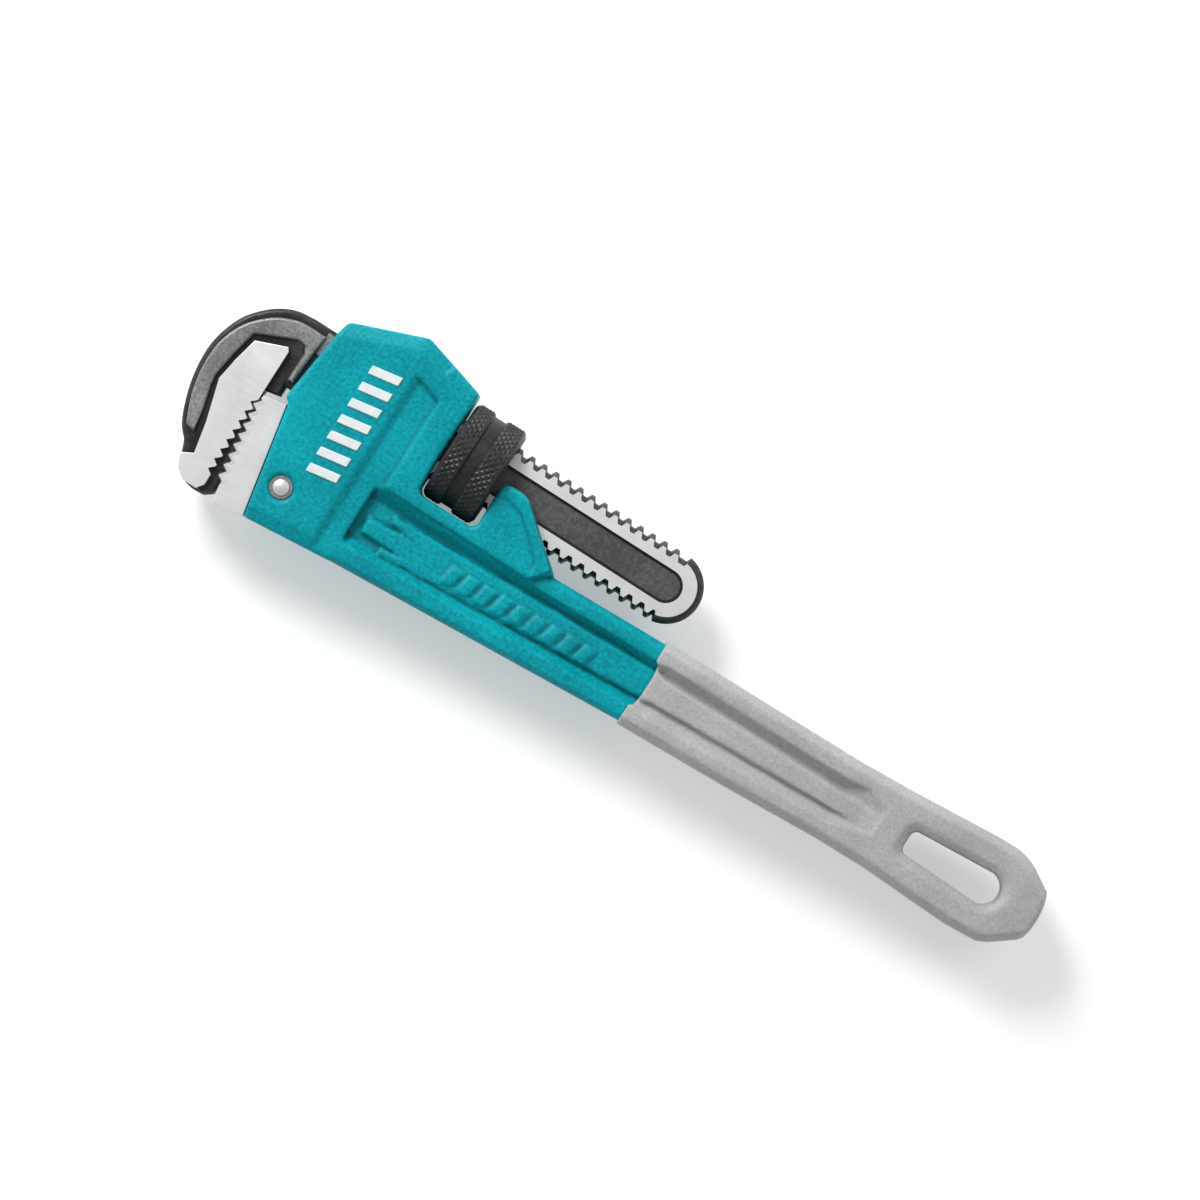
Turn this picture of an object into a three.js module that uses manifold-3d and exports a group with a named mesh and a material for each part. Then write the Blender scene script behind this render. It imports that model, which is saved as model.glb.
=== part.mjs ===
// A 350 mm (14 in) heavy-duty pipe wrench: cast handle with a grip coat, hook jaw on a threaded shank,
// knurled adjusting nut, heel jaw held by a riveted pin, and the coil and leaf spring behind the shank.
// Millimetres. The wrench lies on its side: X runs along the shank from the jaws to the handle's end,
// Y points to the wrench's back and Z is its thickness. Pieces are drawn about the centre of the nut,
// and the last lines move them so that the origin is the middle of the bounding box, at its bottom.
import * as THREE from "three";
import { mergeVertices } from "three/addons/utils/BufferGeometryUtils.js";
import Module from "manifold-3d";

const wasm = await Module();
wasm.setup();

// ---- driving dimensions ----
const GAP = 0.3; // clearance between pieces that touch
const THREAD = { pitch: 4.3, crest: 11.35, root: 9.7, crestWidth: 1.2, rootWidth: 3.0, phase: 0.9 };
const NUT = { radius: 16, length: 17.6, chamfer: 0.9, groove: [-2.3, 1.3], grooveDepth: 0.7, flankPlay: 0.4 };
const SHANK = { half: 5.6, plain: 11.2, threadStart: -16, end: 79.6, recess: 5.2, recessDepth: 1.1 };
const HEAD = { half: 10.8, trough: 9.6, chamfer: 0.7 };
const WINDOW = { left: -9.7, right: 10.6, bottom: -16.6, corner: 1.5 };
const PASSAGE = { half: 6.05, low: -11.9, lowTail: -13.7 };
const SPRING_X = -31.2; // the coil spring stands under the head's peak
const COIL = { radius: 2.6, wire: 0.45, pitch: 1.5, turns: 5, foot: 13.1 };
const LEAF = { from: -47.5, to: -14.5, width: 9, thick: 0.8, base: 11.75, rise: 0.55 };
const PIN = { x: -44.9, y: -37.3, radius: 2.5, head: 3.0, countersink: 4.3, sink: 1.2 };
const SEAT = { top: [-56.6, -14.9], bottom: [-49.7, -50.7] }; // where the heel jaw meets the head
const JAW = { hookHalf: 7.5, ringHalf: 7, heelHalf: 8.5, tooth: 1.8, hookFace: -64.9 };
const GRIP = { coat: 1.0, start: 77.4, clearance: 0.2, scallop: 2.1 };
const HANDLE = { webStart: -21.6, webEnd: 161, thickStart: 9.6, thickEnd: 6.9, end: 214.5 };
const RELIEF = { panelDrop: 1.7, webDrop: 3.4 }; // how far the panel and the web lie below the rails
const SLOT_FLARE = { width: 2.7, depth: 1.5 };

// ---- solids ----
function solidOf(geometry) {
  const bare = geometry.index ? geometry.toNonIndexed() : geometry.clone();
  for (const name of Object.keys(bare.attributes)) if (name !== "position") bare.deleteAttribute(name);
  const merged = mergeVertices(bare, 1e-4);
  return new wasm.Manifold(
    new wasm.Mesh({
      numProp: 3,
      vertProperties: new Float32Array(merged.attributes.position.array),
      triVerts: new Uint32Array(merged.index.array),
    }),
  );
}

function geometryOf(solid) {
  const { vertProperties, triVerts, numProp } = solid.getMesh();
  const geometry = new THREE.BufferGeometry();
  const positions = new Float32Array((vertProperties.length / numProp) * 3);
  for (let i = 0; i < positions.length / 3; i++)
    for (let k = 0; k < 3; k++) positions[3 * i + k] = vertProperties[numProp * i + k];
  geometry.setAttribute("position", new THREE.BufferAttribute(positions, 3));
  geometry.setIndex(new THREE.BufferAttribute(new Uint32Array(triVerts), 1));
  geometry.computeVertexNormals();
  return geometry;
}

const vectors = (points) => points.map(([x, y]) => new THREE.Vector2(x, y));

// A flat outline made into a plate, from z = low to z = high, with its edges chamfered.
function plate(outline, low, high, chamfer = 0) {
  const shape = outline instanceof THREE.Shape ? outline : new THREE.Shape(vectors(outline));
  const geometry = new THREE.ExtrudeGeometry(shape, {
    depth: high - low - 2 * chamfer,
    curveSegments: 10,
    bevelEnabled: chamfer > 0,
    bevelThickness: chamfer,
    bevelSize: chamfer,
    bevelOffset: -chamfer,
    bevelSegments: 1,
  });
  return solidOf(geometry.translate(0, 0, low + chamfer));
}

// A skin through rings of points with the same count, closed by a flat cap at each end.
function loft(rings) {
  const count = rings[0].length;
  const points = rings.flat();
  const index = [];
  for (let r = 0; r + 1 < rings.length; r++)
    for (let i = 0; i < count; i++) {
      const [a, b] = [r * count + i, r * count + ((i + 1) % count)];
      index.push(a, b, a + count, b, b + count, a + count);
    }
  const last = (rings.length - 1) * count;
  for (let i = 1; i + 1 < count; i++) {
    index.push(0, i + 1, i);
    index.push(last, last + i, last + i + 1);
  }
  const geometry = new THREE.BufferGeometry();
  geometry.setAttribute("position", new THREE.Float32BufferAttribute(points.flat(), 3));
  geometry.setIndex(index);
  const solid = solidOf(geometry);
  if (solid.volume() > 0) return solid;
  geometry.setIndex(index.toReversed());
  return solidOf(geometry);
}

// A bar of rectangular section along X: stations are [x, yLow, yHigh, zHalf].
function bar(stations) {
  return loft(
    stations.map(([x, low, high, half]) => [
      [x, low, -half],
      [x, high, -half],
      [x, high, half],
      [x, low, half],
    ]),
  );
}

function cylinder(radius, low, high, x, y, segments = 32) {
  const geometry = new THREE.CylinderGeometry(radius, radius, high - low, segments);
  return solidOf(geometry.rotateX(Math.PI / 2).translate(x, y, (low + high) / 2));
}

// A section of [along, radius] points swept on a right-hand helix about X, angles from +Y towards +Z.
function helix(section, pitch, from, to, steps) {
  const rings = [];
  for (let s = 0; s <= steps; s++) {
    const turn = from + ((to - from) * s) / steps;
    const advance = (pitch * turn) / (2 * Math.PI);
    rings.push(section.map(([along, r]) => [along + advance, r * Math.cos(turn), r * Math.sin(turn)]));
  }
  return loft(rings);
}

// A lathed solid about X from a closed [x, radius] profile.
function turned(profile, segments) {
  const closed = vectors([...profile, profile[0]].map(([x, r]) => [r, x])).reverse();
  return solidOf(new THREE.LatheGeometry(closed, segments).rotateZ(-Math.PI / 2));
}

const union = (...solids) => solids.reduce((sum, next) => sum.add(next));
const mirrored = (make) => [1, -1].map(make);

// A wedge that takes a sloping chamfer off the edge from a to b, on the face of the given side.
function edgeWedge([ax, ay], [bx, by], width, depth, face, side, overrun = [0, 0]) {
  const length = Math.hypot(bx - ax, by - ay);
  const [ux, uy] = [(bx - ax) / length, (by - ay) / length];
  const [nx, ny] = [-(by - ay) / length, (bx - ax) / length]; // points inwards where the outline runs a to b
  const ring = (x, y) =>
    [
      [width, face],
      [0, face - depth],
      [-3, face - depth],
      [-3, face + 3],
      [width, face + 3],
    ].map(([inset, z]) => [x + nx * inset, y + ny * inset, z * side]);
  const [before, after] = overrun;
  return loft([ring(ax - ux * before, ay - uy * before), ring(bx + ux * after, by + uy * after)]);
}

// ---- handle casting ----
// Top and bottom edges of the handle bar and its coat, as [x, yTop, yBottom].
const BAR_EDGES = [
  [HANDLE.webStart - 1, -16.9, -48.1],
  [26, -16.5, -45.1],
  [77, -14.9, -41.8],
  [116, -14.4, -40.3],
  [146, -13.8, -38.6],
  [163, -12.9, -38.3],
  [193, -10.6, -39.4],
  [200, -10.4, -39.0],
];
const TAIL = [
  [203, -11.2, -38.7, 0],
  [206, -12.4, -37.2, 0.1],
  [213.3, -16.8, -31.8, 1.2],
  [214.5, -19.4, -30.3, 1.7],
  [215.1, -22.4, -28, 2.2],
];

function barHalf(x) {
  const share = (x - HANDLE.webStart) / (HANDLE.end - HANDLE.webStart);
  return HANDLE.thickStart + (HANDLE.thickEnd - HANDLE.thickStart) * share;
}

// Eight-sided section of the bar, grown on all sides by the coat.
function barRing([x, top, bottom, slim = 0], grow) {
  const half = barHalf(x) + grow - slim;
  const [high, low] = [top + grow, bottom - grow];
  const [edge, lip] = [1.6 + grow, 1.9 + grow];
  return [
    [x, high, half - lip],
    [x, high - edge, half],
    [x, low + edge, half],
    [x, low, half - lip],
    [x, low, lip - half],
    [x, low + edge, -half],
    [x, high - edge, -half],
    [x, high, lip - half],
  ];
}

// The sunk web on one side: [x, outer top, inner top, inner bottom, outer bottom, depth]. It is wider under
// the coat, which fills it in again, and runs out before the hanging slot.
const WEB = [
  [HANDLE.webStart, -20.9, -24.6, -38.4, -42.2, RELIEF.webDrop],
  [78.5, -20.0, -22.6, -33.3, -36.5, RELIEF.webDrop],
  [82, -19.0, -21.6, -34.3, -37.5, RELIEF.webDrop],
  [116, -18.7, -21.6, -32.9, -36.0, RELIEF.webDrop],
  [146, -18.2, -20.9, -31.5, -34.6, RELIEF.webDrop],
  [HANDLE.webEnd, -20.0, -21.2, -30.2, -31.8, 0.6],
];

function webCut(side, grow) {
  const rings = WEB.map(([x, top, topIn, lowIn, low, depth]) => {
    const [open, floor] = [barHalf(x) + 4, barHalf(x) - depth + grow];
    const slope = (4 / depth) * 0.8;
    const along = x === HANDLE.webEnd ? x - grow : x;
    return [
      [along, top - grow + slope * (top - topIn), side * open],
      [along, topIn - grow, side * floor],
      [along, lowIn + grow, side * floor],
      [along, low + grow - slope * (lowIn - low), side * open],
    ];
  });
  return loft(rings);
}

// The raised panel on the web, with three prongs at its jaw end.
const PANEL = [
  [-11.2, -26.3],
  [-11.2, -28.6],
  [2.2, -29.6],
  [-18.0, -30.6],
  [-18.0, -35.6],
  [1.0, -35.4],
  [-10.3, -36.7],
  [-10.3, -38.4],
  [78, -32.6],
  [83, -31.2],
  [116, -30.0],
  [157, -28.2],
  [157, -24.3],
  [116, -24.8],
  [83, -24.9],
  [78, -23.4],
];

function panelOn(side, grow) {
  const centre = -28;
  const rows = PANEL.map(([x, y]) => [x > 140 ? x + grow : x, y + Math.sign(y - centre) * grow]);
  const flat = plate(rows, 0, 1, 0.35);
  // The panel follows the taper of the bar, so its top is raised along X.
  const { vertProperties, triVerts, numProp } = flat.getMesh();
  const positions = [];
  for (let i = 0; i < vertProperties.length; i += numProp) {
    const x = vertProperties[i];
    const top = barHalf(x) - RELIEF.panelDrop + grow;
    const base = barHalf(x) - RELIEF.webDrop - 0.6;
    positions.push(x, vertProperties[i + 1], base + (top - base) * vertProperties[i + 2]);
  }
  const geometry = new THREE.BufferGeometry();
  geometry.setAttribute("position", new THREE.Float32BufferAttribute(positions, 3));
  geometry.setIndex([...triVerts]);
  const front = solidOf(geometry);
  return side > 0 ? front : front.mirror([0, 0, 1]);
}

// The hanging slot, a taper with one round end; grow widens it.
function slotOutline(grow) {
  const shape = new THREE.Shape();
  const [left, right, radius, corner] = [170.2 - grow, 197.6, 5.2 + grow, 2.4 + grow];
  const [top, bottom, middle] = [-21.4 + grow, -29.4 - grow, -24.9];
  shape.moveTo(left, bottom + corner);
  shape.quadraticCurveTo(left, bottom, left + corner, bottom);
  shape.lineTo(right, middle - radius);
  shape.absarc(right, middle, radius, -Math.PI / 2, Math.PI / 2, false);
  shape.lineTo(left + corner, top);
  shape.quadraticCurveTo(left, top, left, top - corner);
  return shape;
}

// The slope down into the hanging slot on one side, from the bar's face.
function slotFlare(side, grow) {
  const face = barHalf(184) + (grow > GRIP.coat ? 0 : GRIP.coat);
  const ring = (spread, z) =>
    slotOutline(grow + spread)
      .getPoints(10)
      .map(({ x, y }) => [x, y, z * side]);
  const { width, depth } = SLOT_FLARE;
  return loft([ring(0, face - depth), ring(width * 1.6, face + depth * 0.6)]);
}

function handleBar(grow, from) {
  const edges = BAR_EDGES.filter(([x]) => x >= from);
  const tail = TAIL.map(([x, top, bottom, slim]) => [x + grow * 0.9, top, bottom, slim]);
  if (from > BAR_EDGES[0][0]) {
    const next = BAR_EDGES.findIndex(([x]) => x >= from);
    const [a, b] = [BAR_EDGES[next - 1], BAR_EDGES[next]];
    const share = (from - a[0]) / (b[0] - a[0]);
    edges.unshift([from, a[1] + (b[1] - a[1]) * share, a[2] + (b[2] - a[2]) * share]);
  }
  const blank = loft([...edges, ...tail].map((station) => barRing(station, grow)));
  const webs = union(...mirrored((side) => webCut(side, grow)));
  const panels = union(...mirrored((side) => panelOn(side, grow)));
  return blank.subtract(webs).add(panels.intersect(blank));
}

const HEAD_OUTLINE = [
  SEAT.bottom,
  [-21.2, -48.1],
  [-21.2, -20.8],
  [32.2, -20.8],
  [35.6, -17.4],
  [38.1, -15.5],
  [20.1, -0.6],
  [17.4, 0.3],
  [13.4, 0.3],
  [11.4, -0.5],
  [WINDOW.right, -2.2],
  [WINDOW.right, WINDOW.bottom + WINDOW.corner],
  [WINDOW.right - WINDOW.corner, WINDOW.bottom],
  [WINDOW.left + WINDOW.corner, WINDOW.bottom],
  [WINDOW.left, WINDOW.bottom + WINDOW.corner],
  [WINDOW.left, 18.2],
  [SPRING_X, 24.4],
  [-53.6, 15.8],
  [-54.6, 14.8],
  [-55.6, 10.4],
  [-58.4, -13.4],
  SEAT.top,
];

// The shallow trough across the head, between the jaw side and the nut side.
function troughCut(side) {
  const outline = [
    [-33, -60],
    [-18.4, -60],
    [-18.4, 9.9],
    [-29.5, 13.4],
    [-33, 13.4],
  ];
  const [face, floor] = [HEAD.half + 2, HEAD.trough];
  const profile = [
    [-32.4, face],
    [-27.2, floor],
    [-19, floor],
    [-18, face],
  ];
  const groove = loft([-60, 14].map((y) => profile.map(([x, z]) => [x, y, z * side])));
  const [low, high] = side > 0 ? [0, 20] : [-20, 0];
  return groove.intersect(plate(outline, low, high));
}

function headSolid() {
  const block = plate(HEAD_OUTLINE, -HEAD.half, HEAD.half, HEAD.chamfer);
  const edges = [
    [[SPRING_X, 24.4], [-53.6, 15.8], 4.2, 1.7, [0.6, 5]],
    [[-20.6, 21.3], [SPRING_X, 24.4], 4.2, 1.7, [0, 0.6]],
    [SEAT.bottom, [-21.2, -48.1], 4.2, 1.8, [3, 0]],
    [[38.1, -15.5], [20.1, -0.6], 3.2, 1.6, [4, 0]],
  ];
  const wedges = edges.flatMap(([a, b, width, depth, overrun]) =>
    mirrored((side) => edgeWedge(a, b, width, depth, HEAD.half, side, overrun)),
  );
  return block.subtract(union(...wedges)).subtract(union(...mirrored(troughCut)));
}

function seatFrame(along, into) {
  // A point measured from the seat's top, down the seat and into the head.
  const [dx, dy] = [SEAT.bottom[0] - SEAT.top[0], SEAT.bottom[1] - SEAT.top[1]];
  const length = Math.hypot(dx, dy);
  return [SEAT.top[0] + (dx * along - dy * into) / length, SEAT.top[1] + (dy * along + dx * into) / length];
}

function tangOutline(grow, mouth) {
  return [
    seatFrame(5 - grow, mouth),
    seatFrame(31 + grow, mouth),
    seatFrame(31 + grow, 9 + grow),
    seatFrame(28, 12 + grow),
    seatFrame(8, 12 + grow),
    seatFrame(5 - grow, 9 + grow),
  ];
}

function countersink(side) {
  const ring = (radius, z) =>
    Array.from({ length: 32 }, (_, i) => {
      const turn = (i * Math.PI) / 16;
      return [PIN.x + radius * Math.cos(turn), PIN.y + radius * Math.sin(turn), z * side];
    });
  const { countersink: mouth, sink } = PIN;
  return loft([ring(mouth - 0.5, HEAD.half - sink), ring(mouth + 0.6, HEAD.half + 1)]);
}

function handleBody() {
  const cast = headSolid().add(handleBar(0, BAR_EDGES[0][0]));
  const passage = bar([
    [-61, PASSAGE.low, 13.7, PASSAGE.half],
    [WINDOW.left + 1, PASSAGE.low, 12.1, PASSAGE.half],
  ]);
  const fork = bar([
    [WINDOW.right - 2, PASSAGE.low - 0.3, 3, PASSAGE.half],
    [42, PASSAGE.lowTail, 3, PASSAGE.half],
  ]);
  const leafPocket = bar([
    [LEAF.from - 1.2, 11, 15.7, LEAF.width / 2 + 0.9],
    [LEAF.to + 2, 11, 14.4, LEAF.width / 2 + 0.9],
  ]);
  const well = COIL.radius + COIL.wire + 0.5;
  const coilPocket = solidOf(new THREE.CylinderGeometry(well, well, 9, 24).translate(SPRING_X, 16.8, 0));
  const tangSlot = plate(tangOutline(GAP, -4), -4.3, 4.3);
  const pinHole = cylinder(PIN.radius + 0.3, -14, 14, PIN.x, PIN.y);
  const slot = plate(slotOutline(GRIP.coat + GRIP.clearance), -14, 14);
  const flares = mirrored((side) => slotFlare(side, GRIP.coat + GRIP.clearance));
  const pockets = [passage, fork, leafPocket, coilPocket, tangSlot];
  const bores = [pinHole, slot, ...flares, ...mirrored(countersink)];
  return [...pockets, ...bores].reduce((body, cut) => body.subtract(cut), cast);
}

// ---- grip coat ----
// The coat's mouth curves back over the panel and runs straight over the rails.
function gripMouth() {
  const [top, bottom] = [-20.3, -36.2];
  const shape = new THREE.Shape();
  shape.moveTo(GRIP.start - 8, top);
  shape.lineTo(GRIP.start - 8, bottom);
  shape.lineTo(GRIP.start - 0.5, bottom);
  shape.quadraticCurveTo(GRIP.start + GRIP.scallop, bottom + 0.5, GRIP.start + GRIP.scallop, bottom + 5);
  shape.lineTo(GRIP.start + GRIP.scallop, top - 5);
  shape.quadraticCurveTo(GRIP.start + GRIP.scallop, top - 0.5, GRIP.start - 0.5, top);
  return plate(shape, -14, 14);
}

function gripSkin() {
  const bore = plate(slotOutline(0), -14, 14);
  const opening = union(bore, ...mirrored((side) => slotFlare(side, 0)));
  const outer = handleBar(GRIP.coat, GRIP.start).subtract(opening).subtract(gripMouth());
  const steel = handleBar(GRIP.clearance, GRIP.start - 5);
  const lining = union(
    plate(slotOutline(GRIP.coat), -14, 14),
    ...mirrored((side) => slotFlare(side, GRIP.coat + 0.001)),
  );
  return outer.subtract(steel.subtract(lining));
}

// ---- hook jaw ----
const HOOK_CURVE = [
  [-69.4, 10.0],
  [-74.6, 7.6],
  [-79.0, 3.9],
  [-82.7, -0.9],
  [-85.2, -7.2],
  [-86.3, -13.8],
  [-85.8, -21.5],
  [-84.0, -29.2],
  [-80.9, -36.8],
  [-77.7, -40.6],
];

// Tips of the teeth, from the throat to the hook's end: the pad's run straight across the jaw, and the web
// below it leans out to follow the heel jaw.
const HOOK_TEETH = { count: 8, pad: [[JAW.hookFace, -18.6], [JAW.hookFace, -45.6]] };
HOOK_TEETH.web = [HOOK_TEETH.pad[0], [JAW.hookFace + 3.1, -45.6]];

function hookShape() {
  const shape = new THREE.Shape();
  shape.moveTo(-30, 10.75);
  shape.lineTo(-63.3, 10.75);
  shape.splineThru(vectors(HOOK_CURVE));
  shape.quadraticCurveTo(-76.1, -43.8, -75.9, -45.6);
  shape.quadraticCurveTo(-74.4, -51.4, -67, -52);
  shape.lineTo(-63.8, -51.8);
  shape.lineTo(-61.5, -50);
  shape.lineTo(-61.5, -48.2);
  shape.lineTo(...HOOK_TEETH.web[0]);
  shape.lineTo(JAW.hookFace, -15.4);
  shape.lineTo(-60.3, -14.5);
  shape.lineTo(-60.3, -11.2);
  shape.lineTo(-30, -11.2);
  return shape;
}

// Raised border of the hook, outside the ground pad.
function hookRing() {
  const outer = [
    [-68.0, 7.4],
    [-73.2, 5.2],
    [-77.4, 1.9],
    [-81.1, -2.5],
    [-83.7, -8.4],
    [-84.7, -14.4],
    [-84.3, -21.4],
    [-82.6, -28.8],
    [-79.6, -36.2],
  ];
  const inner = [
    [-75.9, -37.4],
    [-77.4, -30.0],
    [-79.3, -22.6],
    [-79.7, -19.2],
    [-78.4, -10.5],
    [-76.7, -2.8],
    [-64.6, 2.7],
    [-61.8, 2.2],
    [-60.9, 0.4],
    [-60.9, -9],
  ];
  const rim = new THREE.Shape();
  rim.moveTo(-57.9, 7.9);
  rim.lineTo(-63.8, 8);
  rim.splineThru(vectors(outer));
  for (const [x, y] of inner) rim.lineTo(x, y);
  rim.lineTo(-58.9, -9);
  return rim;
}

const HOOK_PAD = [
  [JAW.hookFace, -1.8],
  [-65.8, -0.6],
  [-75.4, -4.4],
  [-77.2, -12.2],
  [-78.4, -19.6],
  [-76.9, -24.9],
  [-74.6, -32.9],
  [-72.6, -42.6],
  [-76.0, -44.4],
  [-75.4, -46.8],
  [-73.0, -50],
  [-70.4, -51.2],
  [-66.6, -51.2],
  [JAW.hookFace, -49.0],
];

// V notches between the teeth of a jaw, down a line from one point to another, cut to the left or right.
function toothNotches(from, to, count, half) {
  const [dx, dy] = [(to[0] - from[0]) / count, (to[1] - from[1]) / count];
  const pitch = Math.hypot(dx, dy);
  const [nx, ny] = [dy / pitch, -dx / pitch]; // into the jaw when the line runs with the jaw on its right
  return Array.from({ length: count }, (_, i) => {
    const at = (share, inset) => [
      from[0] + dx * (i + share) + nx * inset,
      from[1] + dy * (i + share) + ny * inset,
    ];
    const land = 0.06;
    const notch = [at(land, -0.4), at(land, 0), at(0.56, JAW.tooth), at(1 - land, 0), at(1 - land, -0.4)];
    return plate(notch, -half, half);
  });
}

// Section of the shank across X: a slab with round edges of the given radius.
function shankSection(radius) {
  const spread = Math.asin(SHANK.half / radius);
  const arc = [-1, -0.5, 0, 0.5, 1].map((share) => spread * share);
  return [
    ...arc.map((turn) => [radius * Math.cos(turn), radius * Math.sin(turn)]),
    ...arc.map((turn) => [-radius * Math.cos(turn), -radius * Math.sin(turn)]),
  ];
}

function shankBar(radius, from, to) {
  return loft([from, to].map((x) => shankSection(radius).map(([y, z]) => [x, y, z])));
}

const TOOTH = (() => {
  const { crest, root, crestWidth, rootWidth } = THREAD;
  const slope = (rootWidth - crestWidth) / 2 / (crest - root);
  const deep = root - 1.2;
  const base = crestWidth / 2 + slope * (crest - deep);
  return [
    [-base, deep],
    [-crestWidth / 2, crest],
    [crestWidth / 2, crest],
    [base, deep],
  ];
})();

// Teeth are pieces of one helix: each back tooth at a whole pitch, each front tooth half a pitch on.
function rackTeeth() {
  const slab = new THREE.BoxGeometry(200, 40, 2 * SHANK.half);
  const first = Math.ceil(SHANK.threadStart / THREAD.pitch);
  const teeth = [];
  for (let turn = first; (turn + 0.5) * THREAD.pitch < 70; turn += 0.5) {
    const middle = turn * 2 * Math.PI;
    teeth.push(helix(TOOTH, THREAD.pitch, middle - 0.62, middle + 0.62, 4));
  }
  return union(...teeth).translate([THREAD.phase, 0, 0]).intersect(solidOf(slab));
}

// The rounded end of the shank, sloped off towards both faces.
function shankEnd() {
  const [start, corner, slope] = [SHANK.end - 10.4, THREAD.root - 0.4, 2.2];
  const reach = Math.acos(1.9 / THREAD.crest); // the arc begins where the last thread runs out
  const arc = Array.from({ length: 25 }, (_, i) => {
    const turn = reach * (i / 12 - 1);
    return [SHANK.end - THREAD.crest * (1 - Math.cos(turn)), THREAD.crest * Math.sin(turn)];
  });
  const outline = [[start, -corner], ...arc, [start, corner]];
  const ring = (share, z) => outline.map(([x, y]) => [start + (x - start) * share, y * share, z]);
  const inner = 1 - slope / THREAD.crest;
  const edge = SHANK.half - slope;
  return loft([ring(inner, -SHANK.half), ring(1, -edge), ring(1, edge), ring(inner, SHANK.half)]);
}

function shankRecess(side) {
  const shape = new THREE.Shape();
  const end = SHANK.end - 6.4 - SHANK.recess;
  shape.moveTo(-45, -SHANK.recess);
  shape.lineTo(end, -SHANK.recess);
  shape.absarc(end, 0, SHANK.recess, -Math.PI / 2, Math.PI / 2, false);
  shape.lineTo(-45, SHANK.recess);
  const floor = SHANK.half - SHANK.recessDepth;
  return side > 0 ? plate(shape, floor, 9) : plate(shape, -9, -floor);
}

function hookJaw() {
  const cutTeeth = (blank, [from, to]) =>
    toothNotches(from, to, HOOK_TEETH.count, 10).reduce((jaw, notch) => jaw.subtract(notch), blank);
  const web = cutTeeth(plate(hookShape(), -SHANK.half, SHANK.half, 1.2), HOOK_TEETH.web);
  const ring = plate(hookRing(), -JAW.ringHalf, JAW.ringHalf, 0.8);
  const pad = cutTeeth(plate(HOOK_PAD, -JAW.hookHalf, JAW.hookHalf, 0.25), HOOK_TEETH.pad);
  const shank = union(
    shankBar(SHANK.plain, -34, SHANK.threadStart),
    shankBar(THREAD.root, SHANK.threadStart - 1, SHANK.end - 9.5),
    rackTeeth(),
    shankEnd(),
  );
  return union(web, ring, pad, shank).subtract(union(...mirrored(shankRecess)));
}

// ---- heel jaw ----
const HEEL_TEETH = { from: [-64.3, -17.8], to: [-61.0, -46.9], count: 9 };

function heelJaw() {
  const outline = [
    [-64.2, -16.7],
    seatFrame(0.3, -GAP),
    seatFrame(36.4, -GAP),
    [-56.9, -52.4],
    [-60.2, -52.0],
    HEEL_TEETH.to,
    HEEL_TEETH.from,
  ];
  const block = plate(outline, -JAW.heelHalf, JAW.heelHalf, 0.3);
  const tang = plate(tangOutline(0, -2), -4, 4, 0.2);
  const notches = toothNotches(HEEL_TEETH.to, HEEL_TEETH.from, HEEL_TEETH.count, 10);
  const hole = cylinder(PIN.radius + 0.3, -14, 14, PIN.x, PIN.y);
  return [...notches, hole].reduce((jaw, cut) => jaw.subtract(cut), block.add(tang));
}

// The pin through the head and the heel jaw's tang, with a domed head at each side.
function heelJawPin() {
  const [neck, top] = [HEAD.half - PIN.sink + 0.25, HEAD.half + 0.35];
  const half = [
    [0, top],
    [PIN.head * 0.45, top - 0.12],
    [PIN.head * 0.8, top - 0.5],
    [PIN.head - 0.3, neck],
    [PIN.radius, neck - 0.02],
  ];
  const profile = [...half, ...half.map(([r, z]) => [r, -z]).reverse()];
  const geometry = new THREE.LatheGeometry(vectors(profile).reverse(), 32).rotateX(Math.PI / 2);
  return solidOf(geometry.translate(PIN.x, PIN.y, 0));
}

// ---- adjusting nut ----
function adjustingNut() {
  const [half, edge] = [NUT.length / 2, NUT.chamfer];
  const bore = THREAD.crest + GAP;
  const [a, b] = NUT.groove;
  const low = NUT.radius - NUT.grooveDepth;
  const body = turned(
    [
      [-half, bore],
      [half, bore],
      [half, NUT.radius - edge - 0.5],
      [half - edge, NUT.radius],
      [b + 0.4, NUT.radius],
      [b, low],
      [a, low],
      [a - 0.4, NUT.radius],
      [edge - half, NUT.radius],
      [-half, NUT.radius - edge],
    ],
    64,
  );
  // The ridge fills the valleys of the shank's thread, less the play on its flanks.
  const { pitch, crest, root, crestWidth, rootWidth } = THREAD;
  const slope = (rootWidth - crestWidth) / 2 / (crest - root);
  const valley = (radius) => pitch / 2 - crestWidth / 2 - slope * (crest - radius) - NUT.flankPlay;
  const [tip, foot] = [root + GAP + 0.05, bore + 0.5];
  const ridge = helix(
    [
      [pitch / 2 - valley(tip), tip],
      [pitch / 2 - valley(foot), foot],
      [pitch / 2 + valley(foot), foot],
      [pitch / 2 + valley(tip), tip],
    ],
    pitch,
    -3.2 * Math.PI * 2,
    2.2 * Math.PI * 2,
    5.4 * 20,
  );
  const sleeve = new THREE.CylinderGeometry(bore + 1, bore + 1, NUT.length - 1.2, 48).rotateZ(Math.PI / 2);
  return body.add(ridge.translate([THREAD.phase, 0, 0]).intersect(solidOf(sleeve)));
}

// ---- springs ----
function leafSpring() {
  const steps = 8;
  const span = LEAF.to - LEAF.from;
  const rings = Array.from({ length: steps + 1 }, (_, i) => {
    const x = LEAF.from + (span * i) / steps;
    const share = (x - SPRING_X) / (span / 2);
    const low = LEAF.base + LEAF.rise * share * share;
    return [x, low, low + LEAF.thick, LEAF.width / 2];
  });
  const hole = new THREE.CylinderGeometry(1.3, 1.3, 6, 20).translate(SPRING_X, LEAF.base, 0);
  return bar(rings).subtract(solidOf(hole));
}

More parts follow.
